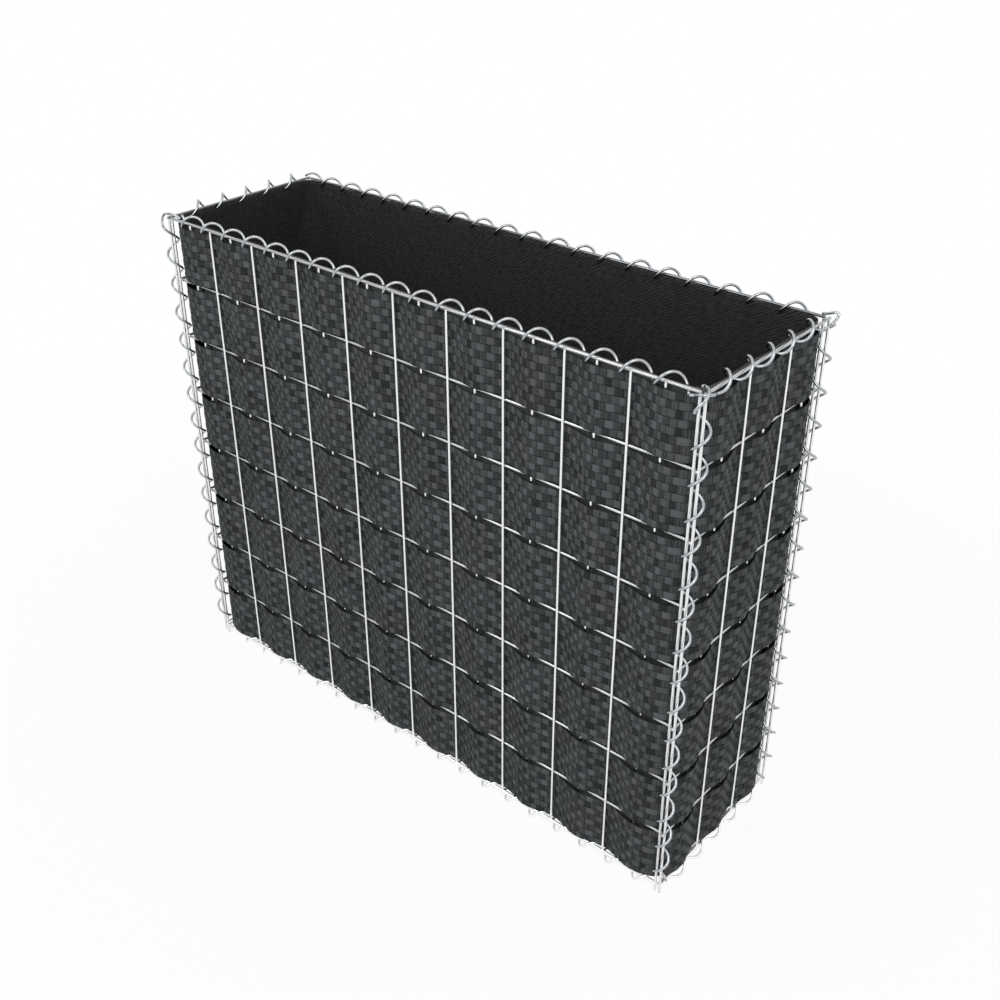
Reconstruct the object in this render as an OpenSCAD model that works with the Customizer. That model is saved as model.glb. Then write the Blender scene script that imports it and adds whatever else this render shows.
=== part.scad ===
// Open gabion planter: five welded wire meshes laced together along their edges
// with spiral binders, broad rattan strips woven through the upright wires of the
// four walls, and a fabric liner bag that stands inside.
// Millimetres. +Z is up, +X runs along the front, and -Y is the front.
// The origin is on the ground, at the middle of the base.

/* [Basket] */
// Spacing of the upright wires
wire_pitch = 50; // [48:1:60]
// Upright-wire bays along the front
front_bays = 20; // [12:2:24]
// Upright-wire bays along each end
end_bays = 6; // [6:2:10]
// Spacing of the level wires, which is also the height of one row
row_pitch = 100; // [80:5:120]
// Rows from the bottom rail to the top rail
row_count = 8; // [8:1:8]
// Amount by which the last bay at each end of the front is narrower
end_trim = 3; // [0:0.5:6]

/* [Wire] */
// Diameter of the upright wires
upright_d = 4; // [3.5:0.1:4.2]
// Diameter of the level wires and rails
level_d = 4.4; // [4.3:0.1:4.6]
// Depth to which crossing wires sink into each other at a weld
weld = 0.4; // [0.3:0.1:0.6]
// Height of the top rail above the last row
rail_rise = 3.4; // [2:0.1:5]
// Length of corner wire that stands below the bottom rail
foot_h = 15.5; // [15.5:0.1:20]

/* [Spiral binders] */
// Diameter of the spiral wire
spiral_d = 3.2; // [2.8:0.1:3.4]
// Radius of the spirals on the top edges
spiral_r = 10.3; // [10:0.1:10.4]
// Radius of the spirals under the bottom edges
low_spiral_r = 8.8; // [8.6:0.1:8.8]
// Height of a top spiral's axis above the top rail
top_axis_rise = 3.6; // [3.4:0.1:4.2]
// Outward shift of a corner spiral's axis from the end wire of the front, which it clears
corner_axis_out = 6.4; // [6:0.1:6.5]

/* [Rattan strips] */
// Height of the open slit between two strips
slit_h = 8; // [7:0.5:12]
// Thickness of a strip
strip_t = 2.4; // [1.6:0.2:2.6]
// Distance that a strip swings to each side of the upright wires
strip_swing = 5; // [4.6:0.1:5.4]

/* [Liner] */
// Thickness of the fabric
liner_t = 1.5; // [1:0.1:2]
// Radius of the liner's upright corners
liner_r = 50; // [40:1:60]
// Height and depth of the tuck round the liner's foot
liner_tuck = 6; // [5.5:0.5:8]

/* [Fit] */
// Gap left between pieces that pass each other
clearance = 0.5; // [0.4:0.1:0.6]

/* [Hidden] */

zinc = "#d9dadc";
binder_grey = "#c9cacc";
rattan_grey = "#3d4344";
liner_black = "#232323";

wire_sides = 8;
flat = cos(180 / wire_sides);
upright_flat = upright_d / 2 * flat;
level_flat = level_d / 2 * flat;
// Level wires run this far inside the upright wires that they are welded to
inset = upright_flat + level_flat - weld;

// Planes of the upright wires: the end meshes stand outside the front's end wires
front_y = end_bays * wire_pitch / 2;
end_wire_x = front_bays * wire_pitch / 2 - end_trim;
end_x = end_wire_x + upright_flat + clearance + level_flat + inset;

// Heights: the bottom rail lies foot_h above the ground
rail_z = foot_h;
top_rail_z = rail_z + row_count * row_pitch + rail_rise;
upright_z0 = rail_z + level_flat - weld;
upright_z1 = top_rail_z - level_flat + weld;

// Spirals make one turn for each upright bay, in short straight steps
spiral_steps = 8;
spiral_sides = 4;
spiral_wire_r = spiral_d / 2;
top_axis_z = top_rail_z + top_axis_rise;
low_axis_z = rail_z + level_flat + clearance + spiral_wire_r - low_spiral_r;
corner_axis_x = end_wire_x + corner_axis_out;
corner_spiral_r = corner_axis_out + upright_flat + clearance + spiral_wire_r;
end_top_l = 2 * (front_y - spiral_r - spiral_d);
front_low_l = 2 * end_wire_x - 2 * low_spiral_r - 4 * spiral_d;
end_low_l = 2 * front_y - 2 * low_spiral_r - 8 * spiral_d;

// Place along each edge where a spiral is nearest the inside of the basket,
// counted from the middle of the edge
front_top_phase = -0.68 * wire_pitch;
back_top_phase = 0.18 * wire_pitch;
end_top_phase = 0.25 * wire_pitch;
corner_phase = 0.25 * wire_pitch;
front_low_phase = -0.13 * wire_pitch;
end_low_phase = 0.5 * wire_pitch;

// Strips: the lowest and highest are trimmed so that the spirals pass their edges.
// A strip rounds each corner of the basket within the last bay of each wall.
strip_low = rail_z + level_flat + 2 * clearance + spiral_d;
strip_high = top_axis_z - spiral_r - spiral_wire_r - clearance;
corner_bays = 1;
strip_front_l = (front_bays - 2 * corner_bays) * wire_pitch;
strip_end_l = (end_bays - 2 * corner_bays) * wire_pitch;
strip_step = wire_pitch / 4;
strip_arc_steps = 8;

// Bottom mesh: cross wires lie on the long wires, and the wires along its edges lie
// inside the base spirals, as far out as their loops allow
floor_reach = low_spiral_r - spiral_wire_r - clearance - upright_d / 2;
floor_cross_z = low_axis_z + clearance;
floor_long_z = floor_cross_z - 2 * upright_flat + weld;
floor_edge_y = front_y - sqrt(pow(floor_reach, 2) - pow(floor_long_z - low_axis_z, 2));
floor_end_x = end_x - sqrt(pow(floor_reach, 2) - pow(floor_cross_z - low_axis_z, 2));
// Its wires end just inside the bottom rails, and those along the front and back
// stop short of the corner wires
floor_run_y = front_y - level_flat - clearance;
floor_run_x = end_x - level_flat - clearance;
floor_edge_run = end_wire_x - upright_flat - clearance;

// Liner: a bag just inside the strips, tucked in at its foot past the base spirals
liner_x = end_x - strip_swing - strip_t / 2 - clearance;
liner_y = front_y - strip_swing - strip_t / 2 - clearance;
liner_z0 = floor_cross_z + upright_flat + clearance;
liner_wall_z0 = low_axis_z + low_spiral_r + spiral_wire_r + clearance;
liner_z1 = strip_high + 2 * clearance;

// One wire with the flats of its section facing the axes
module rod(d, len) {
    rotate(180 / wire_sides)
        cylinder(d = d, h = len, $fn = wire_sides);
}

module rod_x(d, x0, x1, y, z) {
    translate([x0, y, z])
        rotate([0, 90, 0])
            rod(d, x1 - x0);
}

module rod_y(d, y0, y1, x, z) {
    translate([x, y0, z])
        rotate([-90, 0, 0])
            rod(d, y1 - y0);
}

// Welded mesh of one wall, drawn as the front of a wall of the given half length:
// upright wires outside, level wires inside, and a rail along the top and bottom.
// The end wires run down past the bottom rail to the ground.
module wall_mesh(half_l, bays) {
    color(zinc)
        union() {
            for (i = [1 : bays - 1])
                translate([(i - bays / 2) * wire_pitch, 0, upright_z0])
                    rod(upright_d, upright_z1 - upright_z0);
            for (side = [-1, 1])
                translate([side * half_l, 0, 0])
                    rod(upright_d, upright_z1);
            for (k = [1 : row_count - 1])
                rod_x(level_d, -half_l - upright_flat, half_l + upright_flat,
                      inset, rail_z + k * row_pitch);
            for (z = [rail_z, top_rail_z])
                rod_x(level_d, -half_l - upright_flat, half_l + upright_flat, 0, z);
        }
}

module front_mesh() {
    translate([0, -front_y, 0])
        wall_mesh(end_wire_x, front_bays);
}

module back_mesh() {
    rotate(180)
        front_mesh();
}

module right_mesh() {
    translate([end_x, 0, 0])
        rotate(90)
            wall_mesh(front_y, end_bays);
}

module left_mesh() {
    rotate(180)
        right_mesh();
}

module bottom_mesh() {
    color(zinc)
        union() {
            for (y = [-floor_edge_y, floor_edge_y])
                rod_x(upright_d, -floor_edge_run, floor_edge_run, y, floor_long_z);
            for (y = [-row_pitch / 2, row_pitch / 2])
                rod_x(upright_d, -floor_run_x, floor_run_x, y, floor_long_z);
            for (i = [1 : front_bays - 1])
                rod_y(upright_d, -floor_run_y, floor_run_y,
                      (i - front_bays / 2) * wire_pitch, floor_cross_z);
            for (x = [-floor_end_x, floor_end_x])
                rod_y(upright_d, -floor_run_y, floor_run_y, x, floor_cross_z);
        }
}

// A point of the spiral's centre line: along +X, with angle 0 at +Y, turning by -Z
function spiral_point(r, s, a) = [s, r * cos(a), -r * sin(a)];

// A corner of the wire's section, which stands square to the run of the wire
function spiral_corner(r, s, a, j) =
    let (
        run = [wire_pitch / 360, -r * sin(a) * PI / 180, -r * cos(a) * PI / 180],
        out = [0, cos(a), -sin(a)],
        up = cross(run / norm(run), out),
        t = 360 * j / spiral_sides + 45
    )
    spiral_point(r, s, a) + spiral_wire_r * (cos(t) * out + sin(t) * up);

// Spiral binder along +X between s0 and s1. It is nearest +Y at the place called phase,
// and its steps fall on whole eighths of a turn.
module spiral(r, s0, s1, phase) {
    step = wire_pitch / spiral_steps;
    first = ceil((s0 - phase) / step);
    n = floor((s1 - phase) / step) - first;
    m = spiral_sides;
    points = [
        for (i = [0 : n])
            for (j = [0 : m - 1])
                spiral_corner(r, phase + (first + i) * step, (first + i) * 360 / spiral_steps, j)
    ];
    walls = [
        for (i = [0 : n - 1])
            for (j = [0 : m - 1])
                let (
                    a = i * m + j,
                    b = i * m + (j + 1) % m
                )
                each [[a, b, b + m], [a, b + m, a + m]]
    ];
    caps = [
        [for (j = [m - 1 : -1 : 0]) j],
        [for (j = [0 : m - 1]) n * m + j]
    ];
    color(binder_grey)
        polyhedron(points, concat(walls, caps), convexity = 10);
}

module front_top_spiral() {
    translate([0, -front_y, top_axis_z])
        spiral(spiral_r, -end_wire_x, end_wire_x, front_top_phase);
}

module back_top_spiral() {
    translate([0, front_y, top_axis_z])
        rotate(180)
            spiral(spiral_r, -end_wire_x, end_wire_x, back_top_phase);
}

module right_top_spiral() {
    translate([end_x, 0, top_axis_z])
        rotate(90)
            spiral(spiral_r, -end_top_l / 2, end_top_l / 2, end_top_phase);
}

module left_top_spiral() {
    rotate(180)
        right_top_spiral();
}

// Corner binder round the end wires of two walls, between the rails
module front_left_spiral() {
    translate([-corner_axis_x, -front_y, rail_z])
        rotate([0, -90, 0])
            spiral(corner_spiral_r, strip_low - rail_z, strip_high - rail_z - spiral_wire_r,
                   corner_phase);
}

module front_right_spiral() {
    mirror([1, 0, 0])
        front_left_spiral();
}

module back_left_spiral() {
    mirror([0, 1, 0])
        front_left_spiral();
}

module back_right_spiral() {
    rotate(180)
        front_left_spiral();
}

module front_base_spiral() {
    translate([0, -front_y, low_axis_z])
        spiral(low_spiral_r, -front_low_l / 2, front_low_l / 2, front_low_phase);
}

module back_base_spiral() {
    rotate(180)
        front_base_spiral();
}

module right_base_spiral() {
    translate([end_x, 0, low_axis_z])
        rotate(90)
            spiral(low_spiral_r, -end_low_l / 2, end_low_l / 2, end_low_phase);
}

module left_base_spiral() {
    rotate(180)
        right_base_spiral();
}

// Swing of a strip to the outside of the wires: full at every second wire
function swing(s) = strip_swing * cos(180 * s / wire_pitch);

// Half of a strip's run, from the front's first crest to the crest before the back
strip_half = concat(
    [for (s = [0 : strip_step : strip_front_l - strip_step / 2])
        [s - strip_front_l / 2, -front_y - swing(s)]],
    [for (i = [0 : strip_arc_steps - 1])
        let (t = 90 * i / strip_arc_steps)
        [strip_front_l / 2 + (end_x + strip_swing - strip_front_l / 2) * sin(t),
         -strip_end_l / 2 - (front_y + strip_swing - strip_end_l / 2) * cos(t)]],
    [for (s = [0 : strip_step : strip_end_l - strip_step / 2])
        [end_x + swing(s), s - strip_end_l / 2]],
    [for (i = [0 : strip_arc_steps - 1])
        let (t = 90 * i / strip_arc_steps)
        [strip_front_l / 2 + (end_x + strip_swing - strip_front_l / 2) * cos(t),
         strip_end_l / 2 + (front_y + strip_swing - strip_end_l / 2) * sin(t)]]
);
strip_run = concat(strip_half, -strip_half);

// The run moved sideways, outwards for a positive distance
function beside(run, d) = [
    for (i = [0 : len(run) - 1])
        let (
            n = len(run),
            along = run[(i + 1) % n] - run[(i + n - 1) % n]
        )
        run[i] + d * [along[1], -along[0]] / norm(along)
];

// One rattan strip: a closed band that passes outside and inside the wires in turn
module rattan_strip(row) {
    n = len(strip_run);
    z0 = row == 1 ? strip_low : rail_z + (row - 1) * row_pitch + slit_h / 2;
    z1 = row == row_count ? strip_high : rail_z + row * row_pitch - slit_h / 2;
    color(rattan_grey)
        translate([0, 0, z0])
            linear_extrude(z1 - z0)
                polygon(concat(beside(strip_run, strip_t / 2), beside(strip_run, -strip_t / 2)),
                        [[for (i = [0 : n - 1]) i], [for (i = [0 : n - 1]) n + i]]);
}

function round_rect(x, y, r, steps = 6) = [
    for (corner = [0 : 3])
        for (i = [0 : steps])
            let (
                a = 90 * corner + 90 * i / steps,
                sx = corner == 0 || corner == 3 ? 1 : -1,
                sy = corner < 2 ? 1 : -1
            )
            [sx * (x - r) + r * cos(a), sy * (y - r) + r * sin(a)]
];

module liner_block(z0, z1, inward) {
    translate([0, 0, z0])
        linear_extrude(z1 - z0)
            polygon(round_rect(liner_x - inward, liner_y - inward, liner_r - inward));
}

module liner() {
    color(liner_black)
        difference() {
            union() {
                liner_block(liner_z0, liner_wall_z0 + liner_t, liner_tuck);
                liner_block(liner_wall_z0, liner_z1, 0);
            }
            liner_block(liner_z0 + liner_t, liner_wall_z0 + 2 * liner_t, liner_tuck + liner_t);
            liner_block(liner_wall_z0 + liner_t, liner_z1 + liner_t, liner_t);
        }
}

front_mesh();
back_mesh();
left_mesh();
right_mesh();
bottom_mesh();
front_top_spiral();
back_top_spiral();
left_top_spiral();
right_top_spiral();
front_left_spiral();
front_right_spiral();
back_left_spiral();
back_right_spiral();
front_base_spiral();
back_base_spiral();
left_base_spiral();
right_base_spiral();
rattan_strip(1);  // rattan_strip_1
rattan_strip(2);  // rattan_strip_2
rattan_strip(3);  // rattan_strip_3
rattan_strip(4);  // rattan_strip_4
rattan_strip(5);  // rattan_strip_5
rattan_strip(6);  // rattan_strip_6
rattan_strip(7);  // rattan_strip_7
rattan_strip(8);  // rattan_strip_8
liner();
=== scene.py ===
import math
import random

import bmesh
import bpy
import numpy as np
from mathutils import Matrix, Vector


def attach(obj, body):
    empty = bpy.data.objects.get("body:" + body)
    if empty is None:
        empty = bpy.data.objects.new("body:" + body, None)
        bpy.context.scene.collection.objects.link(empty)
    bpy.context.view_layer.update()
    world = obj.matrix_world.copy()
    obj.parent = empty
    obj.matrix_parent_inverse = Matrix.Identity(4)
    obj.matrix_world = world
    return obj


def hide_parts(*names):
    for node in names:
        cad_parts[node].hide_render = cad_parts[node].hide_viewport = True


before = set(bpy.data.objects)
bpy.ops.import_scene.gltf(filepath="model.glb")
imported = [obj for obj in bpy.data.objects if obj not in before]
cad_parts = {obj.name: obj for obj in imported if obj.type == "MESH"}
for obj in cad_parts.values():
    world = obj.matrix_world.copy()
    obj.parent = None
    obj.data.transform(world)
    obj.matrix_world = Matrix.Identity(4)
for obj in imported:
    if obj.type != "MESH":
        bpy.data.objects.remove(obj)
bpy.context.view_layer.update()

# Basket, as in the part's source
wire_pitch = 50.0
row_pitch = 100.0
row_count = 8
front_bays = 20
end_bays = 6
upright_d = 4.0
level_d = 4.4
level_inset = 3.48
front_y = 150.0
end_wire_x = 497.0
end_x = 504.86
rail_z = 15.5
top_rail_z = 818.9
upright_z0 = 17.1
upright_z1 = 817.3
wire_sides = 12
wire_end_bevel = 0.5
weld_r = 2.3
# Painted shade on the zinc, as greyness, 0 where it is bright
level_wire_painted_shade = 0.55
corner_wire_painted_shade = 0.1
near_rail_painted_shade = 0.55
far_rail_painted_shade = 1.0

# Bottom mesh
floor_cross_z = 11.33
floor_long_z = 8.03
floor_edge_y = 146.2
floor_end_x = 500.2
floor_run_y = 147.5
floor_run_x = 502.3
floor_edge_run = 494.6

# Spiral binders, of a wire a little thicker than in the part's source
spiral_d = 4.0
spiral_r = 10.3
back_spiral_r = 10.0
low_spiral_r = 8.8
top_axis_z = 822.5
back_axis_z = 818.4
low_axis_z = 10.83
corner_axis_x = 503.4
corner_spiral_r = 10.35
corner_phase = 12.5
corner_binder_z0 = 21.73
corner_binder_z1 = 810.1
corner_bend_start = 778.0
front_base_reach = 481.8
front_base_phase = -6.5
end_base_reach = 128.4
end_base_phase = 25.0
binder_sides = 8
turn_steps = 20
bend_steps = 4
bend_lead = 3.0

# Rattan strips: eight level tapes each, woven with upright tapes about 12 mm apart
lowest_edge = 18.2
highest_edge = 810.9
# A strip starts above one level wire and ends below the next
edge_above_wire = 3.7
edge_below_wire = 5.4
slit_h = 8.0
strip_swing = 5.0
strip_crest_x = 450.0
strip_crest_y = 100.0
strip_corner_power = 2.2
level_tapes = 8
upright_tapes = 220
# Share of their spacing that the upright tapes cover
upright_tape_share = 0.68
least_step_share = 0.4
tape_sway = 0.4
ribs_per_tape = 4

# Liner bag
liner_x = 498.1
liner_y = 143.2
liner_r = 50.0
rim_r = 14.0
rim_r_h = 130.0
liner_rim_z = 819.5
liner_flare = 3.8
liner_wall_z0 = 21.8
liner_floor_z = 13.7
liner_tuck = 6.0
liner_t = 1.5
rim_fold = 7.0
liner_girth = 2480.0
liner_flap = 140.0
floor_sag = 0.7
billow_depth = 2.6
billow_run = 137.0
pucker_depth = 1.1
pucker_run = 41.0
pucker_drift = 211.0
# Columns of cloth along the front, round a corner and along an end, and rows of it
liner_columns = (180, 12, 48)
liner_wall_rows = 32
liner_floor_rows = 10
# Threads run 35 degrees off level, in short ends
thread_x = -0.82
thread_z = 0.57
thread_end = 12.0
thread_w = 1.5
# Widths from one drawn line of thread to the next
thread_line_step = 3

# Stage: metres, degrees and the lens in millimetres
floor_size_m = 40.0
surround_light = 0.55
camera_lens = 43.895
camera_tilt = 30.553
camera_turn = 40.392


def linear(code):
    """An sRGB hex colour as linear red, green, blue and alpha."""
    parts = [int(code[i:i + 2], 16) / 255 for i in (1, 3, 5)]
    return [p / 12.92 if p <= 0.04045 else ((p + 0.055) / 1.055) ** 2.4 for p in parts] + [1.0]


def add_node(tree, kind, inputs=None, **settings):
    """Adds a node with its settings. Each input is a value or another node's output."""
    made = tree.nodes.new(kind)
    for key, value in settings.items():
        setattr(made, key, value)
    for key, value in (inputs or {}).items():
        if isinstance(value, bpy.types.NodeSocket):
            tree.links.new(value, made.inputs[key])
        else:
            made.inputs[key].default_value = value
    return made


def new_finish(name):
    """An empty material and its node tree."""
    finish = bpy.data.materials.new(name)
    finish.use_nodes = True
    finish.node_tree.nodes.clear()
    return finish, finish.node_tree


def galvanised_wire(name, dark, light, roughness):
    """Drawn steel wire with a hot-dip zinc coat: bright, faintly mottled with the zinc's
    crystals and a little rougher with them in places, and greyer where painted shade is asked for."""
    finish, tree = new_finish(name)
    place = add_node(tree, "ShaderNodeTexCoord").outputs["Object"]
    # Zinc crystals of about 6 mm
    crystals = add_node(tree, "ShaderNodeTexNoise",
                        {"Vector": place, "Scale": 1000 / 6, "Detail": 3.0, "Roughness": 0.6})
    tone = add_node(tree, "ShaderNodeMix",
                    {"Factor": crystals.outputs["Fac"], 6: linear(dark), 7: linear(light)},
                    data_type="RGBA")
    # Painted shade: level wires, corner wires and top rails are painted greyer, for the shade and dark
    # reflections on them
    painted_shade = add_node(tree, "ShaderNodeAttribute", attribute_name="painted_shade")
    tone = add_node(tree, "ShaderNodeMix",
                    {"Factor": painted_shade.outputs["Fac"], 6: tone.outputs[2], 7: linear("#85888b")},
                    data_type="RGBA", blend_type="MULTIPLY")
    dull = add_node(tree, "ShaderNodeMapRange",
                    {"Value": crystals.outputs["Fac"], "From Min": 0.3, "From Max": 0.7,
                     "To Min": roughness - 0.07, "To Max": roughness + 0.09})
    # Drawing marks and zinc drops, about 1 mm apart
    drops = add_node(tree, "ShaderNodeTexNoise", {"Vector": place, "Scale": 1000.0, "Detail": 1.0})
    relief = add_node(tree, "ShaderNodeBump",
                      {"Height": drops.outputs["Fac"], "Strength": 0.25, "Distance": 0.0003})
    shader = add_node(tree, "ShaderNodeBsdfPrincipled",
                      {"Base Color": tone.outputs[2], "Metallic": 1.0,
                       "Roughness": dull.outputs["Result"], "Normal": relief.outputs["Normal"]})
    add_node(tree, "ShaderNodeOutputMaterial", {"Surface": shader.outputs["BSDF"]})
    return finish


def rattan_tape():
    """Extruded polyethylene rattan tape in anthracite: a soft satin face, fine ribs along
    each tape with painted shade in their grooves, painted light on each level float up to where
    the tape bends over and painted shade beyond it, and painted shade in the gaps where one
    tape passes under the next."""
    finish, tree = new_finish("rattan_tape")
    weave = add_node(tree, "ShaderNodeUVMap", uv_map="weave")
    run = add_node(tree, "ShaderNodeSeparateXYZ", {"Vector": weave.outputs["UV"]})
    # Number of the float along its tape, and of the tape
    float_no = add_node(tree, "ShaderNodeMath", {0: run.outputs["X"], 1: 0.5}, operation="ADD")
    float_no = add_node(tree, "ShaderNodeMath", {0: float_no.outputs[0]}, operation="FLOOR")
    tape_no = add_node(tree, "ShaderNodeMath", {0: run.outputs["Y"]}, operation="FLOOR")
    block = add_node(tree, "ShaderNodeCombineXYZ",
                     {"X": float_no.outputs[0], "Y": tape_no.outputs[0]})
    chance = add_node(tree, "ShaderNodeTexWhiteNoise", {"Vector": block.outputs["Vector"]},
                      noise_dimensions="2D")
    lots = add_node(tree, "ShaderNodeSeparateColor", {"Color": chance.outputs["Color"]})
    upright = add_node(tree, "ShaderNodeMath", {0: run.outputs["Y"], 1: upright_tape_v},
                       operation="GREATER_THAN")
    # Painted light and shade: a level float is painted light up to its ridge, which lies a little to one
    # side, and painted shade beyond
    along = add_node(tree, "ShaderNodeMath", {0: run.outputs["X"], 1: float_no.outputs[0]},
                     operation="SUBTRACT")
    ridge = add_node(tree, "ShaderNodeMapRange",
                     {"Value": lots.outputs["Green"], "To Min": -0.09, "To Max": 0.09})
    beyond = add_node(tree, "ShaderNodeMath", {0: along.outputs[0], 1: ridge.outputs["Result"]},
                      operation="SUBTRACT")
    side = add_node(tree, "ShaderNodeMapRange",
                    {"Value": beyond.outputs[0], "From Min": -0.05, "From Max": 0.06,
                     "To Min": 0.84, "To Max": 0.24}, interpolation_type="SMOOTHSTEP")
    tone = add_node(tree, "ShaderNodeMix",
                    {0: upright.outputs[0], 2: side.outputs["Result"], 3: 0.46}, data_type="FLOAT")
    # Floats differ from each other by a third of the range
    differ = add_node(tree, "ShaderNodeMapRange",
                      {"Value": lots.outputs["Red"], "To Min": -0.18, "To Max": 0.18})
    tone = add_node(tree, "ShaderNodeMath", {0: tone.outputs[0], 1: differ.outputs["Result"]},
                    operation="ADD")
    # Ribs along the tape, 2 to 3 mm apart, deeper on the upright tapes: a bump, and painted shade in their
    # grooves
    ribs = add_node(tree, "ShaderNodeMath", {0: run.outputs["Y"], 1: 2 * math.pi * ribs_per_tape},
                    operation="MULTIPLY")
    ribs = add_node(tree, "ShaderNodeMath", {0: ribs.outputs[0]}, operation="SINE")
    rib_painted_shade = add_node(tree, "ShaderNodeMapRange",
                     {"Value": upright.outputs[0], "To Min": 0.05, "To Max": 0.2})
    tone = add_node(tree, "ShaderNodeMath",
                    {0: ribs.outputs[0], 1: rib_painted_shade.outputs["Result"], 2: tone.outputs[0]},
                    operation="MULTIPLY_ADD", use_clamp=True)
    grey = add_node(tree, "ShaderNodeMix",
                    {"Factor": tone.outputs[0], 6: linear("#272b2b"), 7: linear("#5c6263")},
                    data_type="RGBA")
    brown = add_node(tree, "ShaderNodeMix",
                     {"Factor": tone.outputs[0], 6: linear("#2b2929"), 7: linear("#5e5a5b")},
                     data_type="RGBA")
    # Patches of about 60 mm are a shade browner, with ragged borders
    place = add_node(tree, "ShaderNodeTexCoord")
    patch = add_node(tree, "ShaderNodeTexNoise",
                     {"Vector": place.outputs["Object"], "Scale": 1000 / 60, "Detail": 1.0})
    browner = add_node(tree, "ShaderNodeMath",
                       {0: lots.outputs["Blue"], 1: 0.24, 2: patch.outputs["Fac"]},
                       operation="MULTIPLY_ADD")
    browner = add_node(tree, "ShaderNodeMapRange",
                       {"Value": browner.outputs[0], "From Min": 0.6, "From Max": 0.78,
                        "To Min": 0.0, "To Max": 0.6})
    tint = add_node(tree, "ShaderNodeMix",
                    {"Factor": browner.outputs["Result"], 6: grey.outputs[2], 7: brown.outputs[2]},
                    data_type="RGBA")
    # Shade where a float dives under the next tape, and in the gaps beside it
    away = add_node(tree, "ShaderNodeMath", {0: along.outputs[0]}, operation="ABSOLUTE")
    dive = add_node(tree, "ShaderNodeMapRange",
                    {"Value": upright.outputs[0], "To Min": 0.3, "To Max": 0.23})
    away = add_node(tree, "ShaderNodeMath", {0: away.outputs[0], 1: dive.outputs["Result"]},
                    operation="SUBTRACT")
    away = add_node(tree, "ShaderNodeMapRange",
                    {"Value": away.outputs[0], "From Min": -0.03, "From Max": 0.06,
                     "To Min": 1.0, "To Max": 0.55})
    across = add_node(tree, "ShaderNodeMath", {0: run.outputs["Y"], 1: tape_no.outputs[0]},
                      operation="SUBTRACT")
    across = add_node(tree, "ShaderNodeMath", {0: across.outputs[0], 1: 0.5}, operation="SUBTRACT")
    across = add_node(tree, "ShaderNodeMath", {0: across.outputs[0]}, operation="ABSOLUTE")
    across = add_node(tree, "ShaderNodeMapRange",
                      {"Value": across.outputs[0], "From Min": 0.33, "From Max": 0.46,
                       "To Min": 1.0, "To Max": 0.6})
    shade = add_node(tree, "ShaderNodeMath", {0: away.outputs["Result"], 1: across.outputs["Result"]},
                     operation="MULTIPLY")
    tint = add_node(tree, "ShaderNodeMix",
                    {"Factor": 1.0, 6: tint.outputs[2], 7: shade.outputs[0]},
                    data_type="RGBA", blend_type="MULTIPLY")
    relief = add_node(tree, "ShaderNodeBump",
                      {"Height": ribs.outputs[0], "Strength": 0.35, "Distance": 0.0002})
    shader = add_node(tree, "ShaderNodeBsdfPrincipled",
                      {"Base Color": tint.outputs[2], "Roughness": 0.5, "IOR": 1.5,
                       "Specular IOR Level": 0.02, "Normal": relief.outputs["Normal"]})
    add_node(tree, "ShaderNodeOutputMaterial", {"Surface": shader.outputs["BSDF"]})
    return finish


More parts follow.
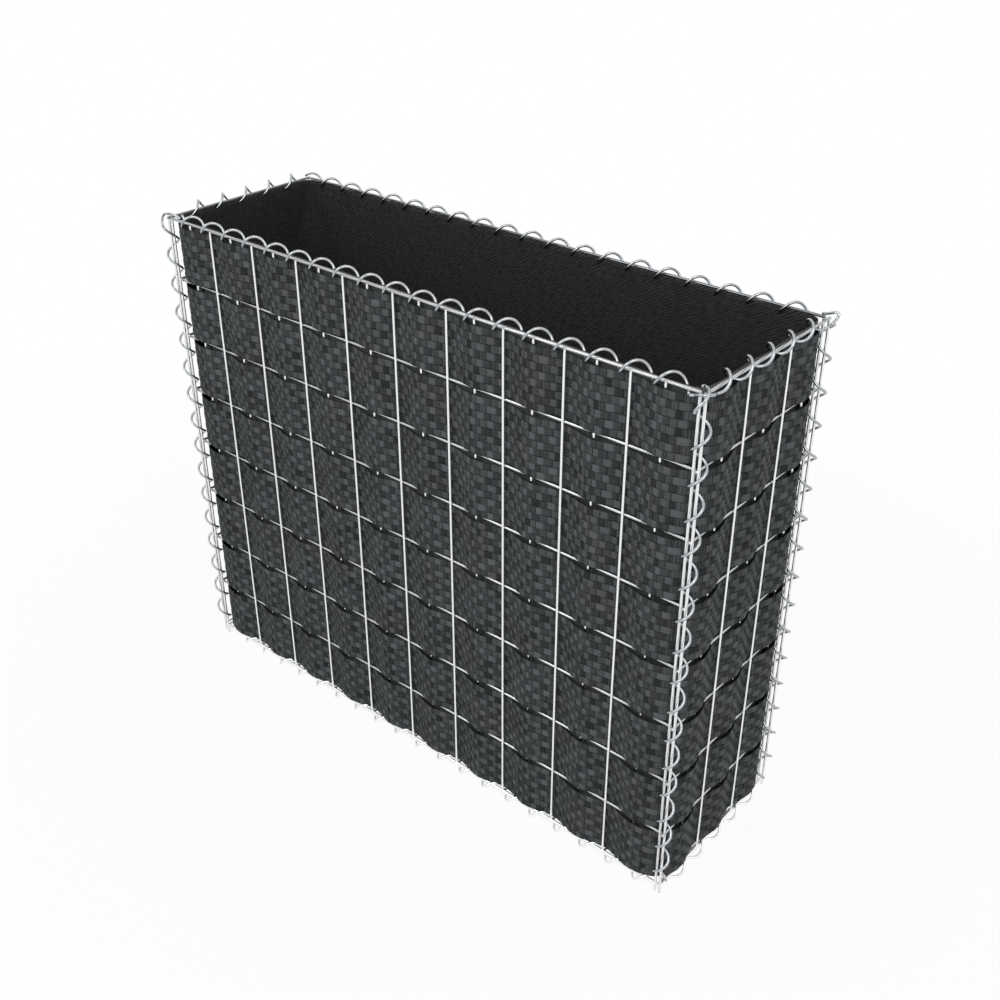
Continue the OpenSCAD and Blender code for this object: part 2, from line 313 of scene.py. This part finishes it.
def liner_fabric():
    """Black woven polypropylene ground fabric: matt, with slanting lines of thread, and a
    paler back, painted light, that shows only through the shaded slits."""
    finish, tree = new_finish("liner_fabric")
    cloth = add_node(tree, "ShaderNodeUVMap", uv_map="cloth")
    # Lines 4.5 mm apart over a grain of short ends, because the real threads are too fine to show
    lengthwise = add_node(tree, "ShaderNodeVectorMath",
                          {0: cloth.outputs["UV"], 1: (thread_x / thread_end, thread_z / thread_end, 0)},
                          operation="DOT_PRODUCT")
    sideways = add_node(tree, "ShaderNodeVectorMath",
                        {0: cloth.outputs["UV"], 1: (thread_z / thread_w, -thread_x / thread_w, 0)},
                        operation="DOT_PRODUCT")
    slant = add_node(tree, "ShaderNodeCombineXYZ",
                     {"X": lengthwise.outputs["Value"], "Y": sideways.outputs["Value"]})
    grain = add_node(tree, "ShaderNodeTexNoise",
                     {"Vector": slant.outputs["Vector"], "Scale": 1.0, "Detail": 3.0,
                      "Roughness": 0.65})
    lines = add_node(tree, "ShaderNodeMath",
                     {0: sideways.outputs["Value"], 1: 2 * math.pi / thread_line_step},
                     operation="MULTIPLY")
    lines = add_node(tree, "ShaderNodeMath", {0: lines.outputs["Value"]}, operation="SINE")
    threads = add_node(tree, "ShaderNodeMath",
                       {0: lines.outputs["Value"], 1: 0.075, 2: grain.outputs["Fac"]},
                       operation="MULTIPLY_ADD")
    tone = add_node(tree, "ShaderNodeMapRange",
                    {"Value": threads.outputs["Value"], "From Min": 0.34, "From Max": 0.68})
    black = add_node(tree, "ShaderNodeMix",
                     {"Factor": tone.outputs["Result"], 6: linear("#191919"), 7: linear("#414141")},
                     data_type="RGBA")
    # The back is where the cloth faces away from the bag's middle; its paler colour is painted light for
    # the shaded slits
    place = add_node(tree, "ShaderNodeTexCoord")
    level = add_node(tree, "ShaderNodeVectorMath", {0: place.outputs["Object"], 1: (1, 1, 0)},
                     operation="MULTIPLY")
    facing = add_node(tree, "ShaderNodeNewGeometry")
    back = add_node(tree, "ShaderNodeVectorMath",
                    {0: facing.outputs["True Normal"], 1: level.outputs["Vector"]},
                    operation="DOT_PRODUCT")
    back = add_node(tree, "ShaderNodeMath", {0: back.outputs["Value"], 1: 0.05},
                    operation="GREATER_THAN")
    black = add_node(tree, "ShaderNodeMix",
                     {"Factor": back.outputs[0], 6: black.outputs[2], 7: linear("#5e6060")},
                     data_type="RGBA")
    relief = add_node(tree, "ShaderNodeBump",
                      {"Height": threads.outputs["Value"], "Strength": 0.4, "Distance": 0.0006})
    shader = add_node(tree, "ShaderNodeBsdfPrincipled",
                      {"Base Color": black.outputs[2], "Roughness": 0.85, "IOR": 1.49,
                       "Specular IOR Level": 0.15, "Normal": relief.outputs["Normal"]})
    add_node(tree, "ShaderNodeOutputMaterial", {"Surface": shader.outputs["BSDF"]})
    return finish


def finish_piece(bm, name, finish, nodes):
    """Turns a piece's mesh from millimetres to metres and sets it in the frame."""
    bmesh.ops.scale(bm, vec=(0.001, 0.001, 0.001), verts=bm.verts)
    for face in bm.faces:
        face.smooth = True
    mesh = bpy.data.meshes.new(name)
    bm.to_mesh(mesh)
    bm.free()
    mesh.materials.append(finish)
    piece = bpy.data.objects.new(name, mesh)
    bpy.context.scene.collection.objects.link(piece)
    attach(piece, "root")
    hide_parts(*nodes)
    return piece


def wire(bm, start, end, diameter, painted_shade=0.0):
    """A straight round wire with its cut ends softened, bright or greyed with painted shade."""
    start, end = Vector(start), Vector(end)
    run = end - start
    place = Matrix.Translation((start + end) / 2) @ run.to_track_quat("Z", "Y").to_matrix().to_4x4()
    made = bmesh.ops.create_cone(bm, cap_ends=True, segments=wire_sides, radius1=diameter / 2,
                                 radius2=diameter / 2, depth=run.length, matrix=place)
    coat = bm.verts.layers.float.get("painted_shade")
    for v in made["verts"]:
        v[coat] = painted_shade
    caps = {f for v in made["verts"] for f in v.link_faces if len(f.verts) == wire_sides}
    ends = {e for f in caps for e in f.edges}
    bmesh.ops.bevel(bm, geom=list(ends), offset=wire_end_bevel, offset_type="OFFSET", segments=2,
                    profile=0.5, affect="EDGES", material=-1)


def weld(bm, at, across):
    """The flattened bead where two wires are welded."""
    place = Matrix.Translation(at) @ Matrix.Diagonal((across, across * 0.55, across, 1))
    bmesh.ops.create_uvsphere(bm, u_segments=8, v_segments=5, radius=1.0, matrix=place)


def wall_mesh(name, half_l, bays, place, rail_painted_shade):
    """Welded mesh of one wall, drawn as the front: uprights outside, level wires inside."""
    bm = bmesh.new()
    bm.verts.layers.float.new("painted_shade")
    spots = [(i - bays / 2) * wire_pitch for i in range(1, bays)]
    for x in spots:
        wire(bm, (x, 0, upright_z0), (x, 0, upright_z1), upright_d)
    for x in (-half_l, half_l):
        wire(bm, (x, 0, 0), (x, 0, upright_z1), upright_d, corner_wire_painted_shade)
    reach = half_l + upright_d / 2
    for k in range(1, row_count):
        z = rail_z + k * row_pitch
        wire(bm, (-reach, level_inset, z), (reach, level_inset, z), level_d, level_wire_painted_shade)
        for x in spots + [-half_l, half_l]:
            weld(bm, (x, level_inset / 2, z), weld_r)
    for z, painted_shade in ((rail_z, 0.0), (top_rail_z, rail_painted_shade)):
        wire(bm, (-reach, 0, z), (reach, 0, z), level_d, painted_shade)
    bmesh.ops.transform(bm, matrix=place, verts=bm.verts)
    finish_piece(bm, name, zinc, [name.replace("_wires", "_mesh")])


def bottom_wires():
    """Bottom mesh: cross wires laid over four long ones."""
    bm = bmesh.new()
    bm.verts.layers.float.new("painted_shade")
    for side in (-1, 1):
        for y, run in ((floor_edge_y, floor_edge_run), (row_pitch / 2, floor_run_x)):
            wire(bm, (-run, side * y, floor_long_z), (run, side * y, floor_long_z), upright_d)
        x = side * floor_end_x
        wire(bm, (x, -floor_run_y, floor_cross_z), (x, floor_run_y, floor_cross_z), upright_d)
    for i in range(1, front_bays):
        x = (i - front_bays / 2) * wire_pitch
        wire(bm, (x, -floor_run_y, floor_cross_z), (x, floor_run_y, floor_cross_z), upright_d)
    finish_piece(bm, "bottom_wires", zinc, ["bottom_mesh"])


def smooth_run(points, steps):
    """A smooth run through the points, with a number of steps from each to the next."""
    points = [Vector(p) for p in points]
    ends = [2 * points[0] - points[1]] + points + [2 * points[-1] - points[-2]]
    run = []
    for a, b, c, d in zip(ends, ends[1:], ends[2:], ends[3:]):
        for k in range(steps):
            t = k / steps
            run.append(0.5 * (2 * b + (c - a) * t + (2 * a - 5 * b + 4 * c - d) * t ** 2
                              + (3 * b - a - 3 * c + d) * t ** 3))
    return run + [points[-1]]


def bent_end(bm, points):
    """The bent end of a binder: its round section is drawn out along the points."""
    run = smooth_run(points, bend_steps)
    ring = bmesh.ops.create_circle(bm, segments=binder_sides, radius=spiral_d / 2, cap_ends=True)["verts"]
    last = Matrix.Identity(4)
    cap = ring[0].link_faces[0]
    for i, point in enumerate(run):
        ahead = run[min(i + 1, len(run) - 1)] - run[max(i - 1, 0)]
        turn = last.to_3x3().col[2].rotation_difference(ahead).to_matrix()
        section = Matrix.Translation(point) @ (turn @ last.to_3x3()).to_4x4()
        if i > 0:
            made = bmesh.ops.extrude_face_region(bm, geom=[cap], use_keep_orig=i == 1)["geom"]
            ring = [v for v in made if isinstance(v, bmesh.types.BMVert)]
            cap = next(f for f in made if isinstance(f, bmesh.types.BMFace))
        bmesh.ops.transform(bm, matrix=section @ last.inverted(), verts=ring)
        last = section


def helix_point(radius, s, phase):
    """A place on a binder's centre line, s along +X."""
    angle = 2 * math.pi * (s - phase) / wire_pitch
    return Vector((s, radius * math.cos(angle), -radius * math.sin(angle)))


def binder(name, radius, start, end, phase, place, low_bend=(), high_bend=(), coat="binder"):
    """Spiral binder along +X: the wire's round section is swung round the axis while it
    moves along, one turn for each upright bay. Bends carry on from its two ends."""
    bm = bmesh.new()
    steps = round((end - start) / wire_pitch * turn_steps)
    run = helix_point(radius, start + 0.1, phase) - helix_point(radius, start - 0.1, phase)
    section = (Matrix.Translation(helix_point(radius, start, phase))
               @ run.to_track_quat("Z", "X").to_matrix().to_4x4())
    ring = bmesh.ops.create_circle(bm, segments=binder_sides, radius=spiral_d / 2,
                                   matrix=section)["verts"]
    edges = list({e for v in ring for e in v.link_edges})
    bmesh.ops.spin(bm, geom=ring + edges, cent=(0, 0, 0), axis=(1, 0, 0),
                   dvec=((end - start) / steps, 0, 0),
                   angle=-2 * math.pi * (end - start) / wire_pitch, steps=steps)
    open_ends = [e for e in bm.edges if e.is_boundary]
    bmesh.ops.holes_fill(bm, edges=open_ends, sides=0)
    bmesh.ops.transform(bm, matrix=place, verts=bm.verts)
    for s, inward, bend in ((start, bend_lead, low_bend), (end, -bend_lead, high_bend)):
        if bend:
            lead = [place @ helix_point(radius, s + inward, phase), place @ helix_point(radius, s, phase)]
            bent_end(bm, lead + list(bend))
    bmesh.ops.recalc_face_normals(bm, faces=bm.faces)
    finish_piece(bm, name + "_binder", zinc_coats[coat], [name + "_spiral"])


def strip_path():
    """Closed run of a strip: out and in round the upright wires, and round the corners."""
    power = 2 / strip_corner_power
    bends = [(math.sin(math.radians(i)) ** power, math.cos(math.radians(i)) ** power) for i in range(90)]
    bulge_x = end_x + strip_swing - strip_crest_x
    bulge_y = front_y + strip_swing - strip_crest_y
    points = []
    for s in range(round(2 * strip_crest_x)):
        points.append((s - strip_crest_x, -front_y - strip_swing * math.cos(math.pi * s / wire_pitch)))
    for a, b in bends:
        points.append((strip_crest_x + bulge_x * a, -strip_crest_y - bulge_y * b))
    for s in range(round(2 * strip_crest_y)):
        points.append((end_x + strip_swing * math.cos(math.pi * s / wire_pitch), s - strip_crest_y))
    for a, b in bends:
        points.append((strip_crest_x + bulge_x * b, strip_crest_y + bulge_y * a))
    return [Vector(p) for p in points] + [-Vector(p) for p in points]


def along_path(points, count):
    """Places along a closed run, each with its outward direction. They lie at even steps as
    seen along the basket's diagonal, so the tapes stand closer on one side of each swing."""
    n = len(points)
    marks = [0.0]
    for i in range(n):
        step = points[(i + 1) % n] - points[i]
        marks.append(marks[-1] + max(abs(step.x - step.y), least_step_share * step.length))
    places, i = [], 0
    for k in range(count + 1):
        s = marks[-1] * k / count
        while i < n - 1 and marks[i + 1] < s:
            i += 1
        share = (s - marks[i]) / (marks[i + 1] - marks[i])
        a, b = points[i], points[(i + 1) % n]
        ahead = (points[(i + 2) % n] - points[i - 1]).normalized()
        places.append((a.lerp(b, min(share, 1.0)), Vector((ahead.y, -ahead.x))))
    return places


# Sections of the tapes, as shares of the width and millimetres of height
level_section = [(-0.53, -0.45), (-0.4, 0.1), (0.4, 0.1), (0.53, -0.45)]
upright_section = [(-0.5, -0.4), (-0.34, 0.1), (0.34, 0.1), (0.5, -0.4)]
# Height of a level tape at each eighth of its period, from under one upright tape to the next:
# it climbs to a ridge and falls away beyond it
level_rise = [-0.85, -0.3, 0.35, 0.6, 0.8, 0.25, 0.1, -0.4]
upright_rise = [-0.95, -0.1, 0.45, -0.1]
# Number above which a tape is an upright one
upright_tape_v = 150.0
# Floats by which the map moves on from one strip to the next
strip_map_step = 500
# Height of the weave before it is fitted between a strip's edges
strip_h = row_pitch - slit_h
tape_steps = 4
rise_steps = 2


def tape(bm, uv, length, section, shape):
    """One flat tape: a grid rolled into a closed tube, with each point placed by shape,
    which gives its place and its place on the weave's map."""
    loop = section + section[:1]
    made = bmesh.ops.create_grid(bm, x_segments=length, y_segments=len(section), size=0.5)["verts"]
    marks = {}
    for v in made:
        c, k = round((v.co.x + 0.5) * length), round((v.co.y + 0.5) * len(section))
        v.co, marks[v] = shape(c, *loop[k])
    for v in made:
        for corner in v.link_loops:
            corner[uv].uv = marks[v]


def rattan_weave():
    """One woven strip, from its lower edge up. Level tapes run right round the basket, over
    one upright tape and under the next, and the upright tapes do the opposite."""
    strip = bmesh.new()
    chance = random.Random(5)
    places = along_path(strip_path(), upright_tapes * tape_steps)
    tape_h = strip_h / level_tapes
    for j in range(level_tapes):
        sway = [chance.uniform(-tape_sway, tape_sway) for _ in range(upright_tapes + 1)]

        def on_level(c, across, high):
            place, out = places[c]
            depth = level_rise[(c + (j % 2) * tape_steps + tape_steps) % len(level_rise)] + high
            z = (j + 0.5 + across) * tape_h + sway[c // tape_steps % upright_tapes]
            spot = (place.x + out.x * depth, place.y + out.y * depth, min(max(z, 0.0), strip_h))
            return spot, ((c / tape_steps + j) / 2, j + 0.5 + across * 0.9)

        bm = bmesh.new()
        tape(bm, bm.loops.layers.uv.new("weave"), upright_tapes * tape_steps, level_section, on_level)
        add_to(strip, bm)
    for i in range(upright_tapes):
        place, out = places[i * tape_steps]
        ahead = Vector((-out.y, out.x))
        lean = chance.uniform(-tape_sway, tape_sway)
        before = places[i * tape_steps - 2 - (i == 0)]
        after = places[i * tape_steps + 2]
        width = upright_tape_share * (after[0] - before[0]).length

        def on_upright(c, across, high):
            q = (c - 1) / rise_steps
            depth = upright_rise[(c + 3 + (i % 2) * rise_steps) % len(upright_rise)] + high
            spot = place + ahead * (across * width + lean) + out * depth
            z = c / rise_steps / level_tapes * strip_h
            return (spot.x, spot.y, z), ((q + i + 1) / 2, upright_tape_v + 1.5 + i + across * 0.9)

        bm = bmesh.new()
        tape(bm, bm.loops.layers.uv.new("weave"), level_tapes * rise_steps, upright_section, on_upright)
        add_to(strip, bm)
    bmesh.ops.remove_doubles(strip, verts=strip.verts, dist=0.001)
    bmesh.ops.holes_fill(strip, edges=[e for e in strip.edges if e.is_boundary], sides=0)
    bmesh.ops.recalc_face_normals(strip, faces=strip.faces)
    return strip


def add_to(whole, bm):
    """Adds a small mesh to a larger one and frees it."""
    mesh = bpy.data.meshes.new("part")
    bm.to_mesh(mesh)
    bm.free()
    whole.from_mesh(mesh)
    bpy.data.meshes.remove(mesh)


def rattan_strip(row, weave):
    """A strip of the weave at its height, every second one turned end for end."""
    z0 = lowest_edge if row == 1 else rail_z + (row - 1) * row_pitch + edge_above_wire
    z1 = highest_edge if row == row_count else rail_z + row * row_pitch - edge_below_wire
    bm = weave.copy()
    height = Matrix.Translation((0, 0, z0)) @ Matrix.Diagonal((1, 1, (z1 - z0) / strip_h, 1))
    bmesh.ops.transform(bm, matrix=height @ (half_turn if row % 2 else Matrix.Identity(4)), verts=bm.verts)
    piece = finish_piece(bm, f"rattan_weave_{row}", rattan, [f"rattan_strip_{row}"])
    # Other floats of the map, so that no two strips have the same painted light and shade on their floats
    marks = piece.data.uv_layers["weave"].uv
    values = np.empty(2 * len(marks), dtype=np.float32)
    marks.foreach_get("vector", values)
    values[0::2] += strip_map_step * row
    marks.foreach_set("vector", values)


def liner_place(column, inset, r):
    """A place on the liner's rounded outline, moved inwards, with its outward direction."""
    x, y = liner_x - inset, liner_y - inset
    front, corner, end = liner_columns
    spans = [front, corner, end, corner]
    turn, rest = divmod(column, sum(spans))
    side = 0
    while rest >= spans[side]:
        rest -= spans[side]
        side += 1
    share = rest / spans[side]
    if side == 0:
        p, n = Vector(((2 * share - 1) * (x - r), -y)), Vector((0, -1))
    elif side == 2:
        p, n = Vector((x, (2 * share - 1) * (y - r))), Vector((1, 0))
    else:
        a = math.radians(90 * share - (90 if side == 1 else 0))
        n = Vector((math.cos(a), math.sin(a)))
        p = Vector((x - r, (y - r) * (-1 if side == 1 else 1))) + n * r
    return (p, n) if turn % 2 == 0 else (-p, -n)


def rim_flare(p, n):
    """How far the rim leans out into the swing of the highest strip."""
    if abs(n.y) > 0.99:
        swing = -math.cos(math.pi * p.x / wire_pitch)
    elif abs(n.x) > 0.99:
        swing = math.cos(math.pi * p.y / wire_pitch)
    else:
        swing = -1.0
    return liner_flare * (0.5 + 0.5 * swing)


def liner_bag():
    """The liner: one soft bag, lofted from its rim down the walls, tucked in at the foot and
    on across the floor to a seam along the middle."""
    bm = bmesh.new()
    uv = bm.loops.layers.uv.new("cloth")
    columns = 2 * (sum(liner_columns) + liner_columns[1])
    rows = liner_wall_rows + liner_floor_rows
    made = bmesh.ops.create_grid(bm, x_segments=columns, y_segments=rows, size=0.5)["verts"]
    wall_h = liner_rim_z - liner_wall_z0
    for v in made:
        c, k = round((v.co.x + 0.5) * columns), round((v.co.y + 0.5) * rows)
        s = liner_girth * c / columns
        below = min(k, 1) * rim_fold + max(k - 1, 0) * (wall_h - rim_fold) / (liner_wall_rows - 1)
        down = min(below / wall_h, 1.0)
        share = max(0.0, (k - liner_wall_rows) / liner_floor_rows)
        for corner in v.link_loops:
            corner[uv].uv = (s, -wall_h * down - liner_flap * share)
        if k <= liner_wall_rows:
            # The corners are drawn tight at the rim and round out below it
            ease = 0.5 - 0.5 * math.cos(math.pi * min(1.0, below / rim_r_h))
            p, n = liner_place(c % columns, 0.0, rim_r + (liner_r - rim_r) * ease)
            z = liner_rim_z - wall_h * down
            # The cloth hangs a little slack, most at half height
            slack = math.sin(math.pi * min(1.0, down + 0.05))
            billow = 0.5 + 0.5 * math.sin(s / billow_run + 1.3 * math.sin(down * 5.0))
            drift = 2.0 * math.sin(s / pucker_drift)
            pucker = 0.5 + 0.5 * math.sin(s / pucker_run + down * 9.0 + drift)
            lean = rim_flare(p, n) * max(0.0, 1 - k / 2)
            p = p + n * (lean - slack * (billow_depth * billow + pucker_depth * pucker))
        else:
            first = 1 / liner_floor_rows
            inset = liner_tuck + (liner_y - liner_tuck) * max(0.0, share - first) / (1 - first)
            p, n = liner_place(c % columns, inset, max(liner_r - inset, 1.0))
            sag = floor_sag * (1 - math.cos(2 * math.pi * p.x / wire_pitch)) * min(1.0, share * 4)
            z = liner_floor_z - sag
        v.co = (p.x, p.y, z)
    bmesh.ops.remove_doubles(bm, verts=bm.verts, dist=0.01)
    bmesh.ops.recalc_face_normals(bm, faces=bm.faces)
    piece = finish_piece(bm, "liner_bag", fabric, ["liner"])
    wall = piece.modifiers.new("cloth_thickness", "SOLIDIFY")
    wall.thickness = liner_t / 1000
    wall.offset = -1.0


zinc = galvanised_wire("galvanised_wire", "#eceeef", "#fcfcfd", 0.24)
# A greyer copy of the zinc for the binders: painted shade
binder_zinc_shaded = galvanised_wire("galvanised_binder_painted_shade", "#999da0", "#c5c8ca", 0.24)
# The base binders, which lie on the ground, keep the bright zinc of the mesh; the other binders have the
# greyer copy, painted shade
zinc_coats = {"binder": binder_zinc_shaded, "bright": zinc}
rattan = rattan_tape()
fabric = liner_fabric()

half_turn = Matrix.Rotation(math.pi, 4, "Z")
quarter_turn = Matrix.Rotation(math.pi / 2, 4, "Z")
front_place = Matrix.Translation((0, -front_y, 0))
right_place = Matrix.Translation((end_x, 0, 0)) @ quarter_turn

wall_mesh("front_wires", end_wire_x, front_bays, front_place, near_rail_painted_shade)
wall_mesh("back_wires", end_wire_x, front_bays, half_turn @ front_place, far_rail_painted_shade)
wall_mesh("right_wires", front_y, end_bays, right_place, near_rail_painted_shade)
wall_mesh("left_wires", front_y, end_bays, half_turn @ right_place, far_rail_painted_shade)
bottom_wires()

front_top = Matrix.Translation((0, -front_y, top_axis_z))
back_top = Matrix.Translation((0, front_y, back_axis_z)) @ half_turn
right_top = Matrix.Translation((end_x, 0, top_axis_z)) @ quarter_turn
# Bent ends, as the binders were left when the corners were closed
near_rail_bend = [(507.5, -135, 813.2), (509.2, -141, 815.6), (509.6, -147.5, 817.6),
                  (507, -153.6, 818.6), (501, -155, 818), (493, -155, 815.6), (486, -154.6, 813.3)]
far_rail_bend = [(509, 123.5, 812.5), (513, 130.5, 815), (515.5, 140, 818.5), (516, 148.5, 822),
                 (515, 154.5, 825.4), (511, 155.5, 826.8), (505.5, 154, 825.3), (499.5, 152, 823.4),
                 (493.5, 150.5, 822.9)]
near_corner_bend = [(499, -158, 801.5), (505, -158.8, 808.5), (509.4, -156, 816), (509.5, -151, 822.3),
                    (505, -147.5, 825.2), (499.5, -144.5, 825), (494.5, -142.5, 823)]
left_corner_bend = [(-501, -161, 801.5), (-509, -160.5, 807), (-514.5, -157, 813), (-515.5, -154, 819),
                    (-512, -152.5, 823.6), (-505, -151.5, 825.5), (-496, -150, 826), (-487, -148, 824.5),
                    (-480, -145.5, 821)]

binder("front_top", spiral_r, start=-483.0, end=482.0, phase=-30.5, place=front_top)
binder("back_top", back_spiral_r, start=-486.0, end=504.0, phase=9.0, place=back_top)
binder("right_top", spiral_r, start=-129.7, end=120.3, phase=7.8, place=right_top,
       low_bend=near_rail_bend, high_bend=far_rail_bend)
binder("left_top", spiral_r, start=-136.5, end=121.0, phase=2.5, place=half_turn @ right_top)

corner = Matrix.Translation((-corner_axis_x, -front_y, rail_z)) @ Matrix.Rotation(-math.pi / 2, 4, "Y")
mirror_x = Matrix.Diagonal((-1, 1, 1, 1))
mirror_y = Matrix.Diagonal((1, -1, 1, 1))
corner_low = corner_binder_z0 - rail_z
corner_high = corner_binder_z1 - rail_z - spiral_d / 2
binder("front_left", corner_spiral_r, corner_low, corner_bend_start, corner_phase, corner,
       high_bend=left_corner_bend)
binder("front_right", corner_spiral_r, corner_low, corner_bend_start, corner_phase, mirror_x @ corner,
       high_bend=near_corner_bend)
binder("back_left", corner_spiral_r, corner_low, corner_high, corner_phase, mirror_y @ corner)
binder("back_right", corner_spiral_r, corner_low, corner_high, corner_phase, half_turn @ corner)

front_low = Matrix.Translation((0, -front_y, low_axis_z))
right_low = Matrix.Translation((end_x, 0, low_axis_z)) @ quarter_turn
for side, reach, phase, place in (("front", front_base_reach, front_base_phase, front_low),
                                  ("back", front_base_reach, front_base_phase, half_turn @ front_low),
                                  ("right", end_base_reach, end_base_phase, right_low),
                                  ("left", end_base_reach, end_base_phase, half_turn @ right_low)):
    binder(side + "_base", low_spiral_r, -reach, reach, phase, place, coat="bright")

weave = rattan_weave()
for row in range(1, row_count + 1):
    rattan_strip(row, weave)
weave.free()
liner_bag()


# Stage: a white floor that keeps a soft shadow, a white surround and soft lamps
def seen_by_camera(tree):
    """1 for what the camera sees, straight on, in a reflection or through something clear."""
    ray = add_node(tree, "ShaderNodeLightPath")
    seen = add_node(tree, "ShaderNodeMath",
                    {0: ray.outputs["Is Camera Ray"], 1: ray.outputs["Is Glossy Ray"]},
                    operation="MAXIMUM")
    seen = add_node(tree, "ShaderNodeMath",
                    {0: seen.outputs[0], 1: ray.outputs["Is Transmission Ray"]},
                    operation="MAXIMUM")
    return seen.outputs[0]


def white_floor():
    """Matt white floor. Seen by the camera or in a reflection it is lifted to the white of the
    surround, wholly so from 2 m away, and nearer in it keeps the shadow."""
    finish, tree = new_finish("white_floor")
    place = add_node(tree, "ShaderNodeTexCoord")
    away = add_node(tree, "ShaderNodeVectorMath", {0: place.outputs["Object"]}, operation="LENGTH")
    lift = add_node(tree, "ShaderNodeMapRange",
                    {"Value": away.outputs["Value"], "From Min": 0.7, "From Max": 2.0,
                     "To Min": 0.93, "To Max": 1.0}, interpolation_type="SMOOTHSTEP")
    matt = add_node(tree, "ShaderNodeBsdfDiffuse", {"Color": linear("#f8f8f8")})
    glow = add_node(tree, "ShaderNodeEmission", {"Color": (1, 1, 1, 1), "Strength": 1.0})
    both = add_node(tree, "ShaderNodeMixShader",
                    {0: lift.outputs["Result"], 1: matt.outputs[0], 2: glow.outputs[0]})
    top = add_node(tree, "ShaderNodeMixShader",
                   {0: seen_by_camera(tree), 1: matt.outputs[0], 2: both.outputs[0]})
    add_node(tree, "ShaderNodeOutputMaterial", {"Surface": top.outputs[0]})
    return finish


bm = bmesh.new()
bmesh.ops.create_grid(bm, x_segments=1, y_segments=1, size=floor_size_m)
mesh = bpy.data.meshes.new("floor")
bm.to_mesh(mesh)
bm.free()
mesh.materials.append(white_floor())
floor = bpy.data.objects.new("floor", mesh)
bpy.context.scene.collection.objects.link(floor)

scene = bpy.context.scene
world = bpy.data.worlds.new("white_surround")
scene.world = world
world.use_nodes = True
world.node_tree.nodes.clear()
sky = world.node_tree
level = add_node(sky, "ShaderNodeMapRange",
                 {"Value": seen_by_camera(sky), "To Min": surround_light, "To Max": 1.0})
white = add_node(sky, "ShaderNodeBackground",
                 {"Color": (1, 1, 1, 1), "Strength": level.outputs["Result"]})
add_node(sky, "ShaderNodeOutputWorld", {"Surface": white.outputs[0]})


def softbox(name, at, aim, size, power):
    """A square soft lamp, aimed at a place."""
    lamp = bpy.data.lights.new(name, "AREA")
    lamp.size = size
    lamp.energy = power
    box = bpy.data.objects.new(name, lamp)
    box.location = at
    box.rotation_euler = (Vector(aim) - Vector(at)).to_track_quat("-Z", "Y").to_euler()
    scene.collection.objects.link(box)


softbox("key_softbox", (-0.9, -3.0, 2.8), (0, 0, 0.4), 1.8, 33)
softbox("fill_softbox", (2.2, -1.6, 3.2), (0.2, 0, 0.4), 2.0, 33)

camera = bpy.data.cameras.new("camera")
camera.lens = camera_lens
camera.sensor_width = 36.0
eye = bpy.data.objects.new("camera", camera)
eye.location = (1.1444, -1.2666, 1.4245)
eye.rotation_euler = (math.radians(90 - camera_tilt), 0, math.radians(camera_turn))
scene.collection.objects.link(eye)
scene.camera = eye
scene.view_settings.view_transform = "Standard"
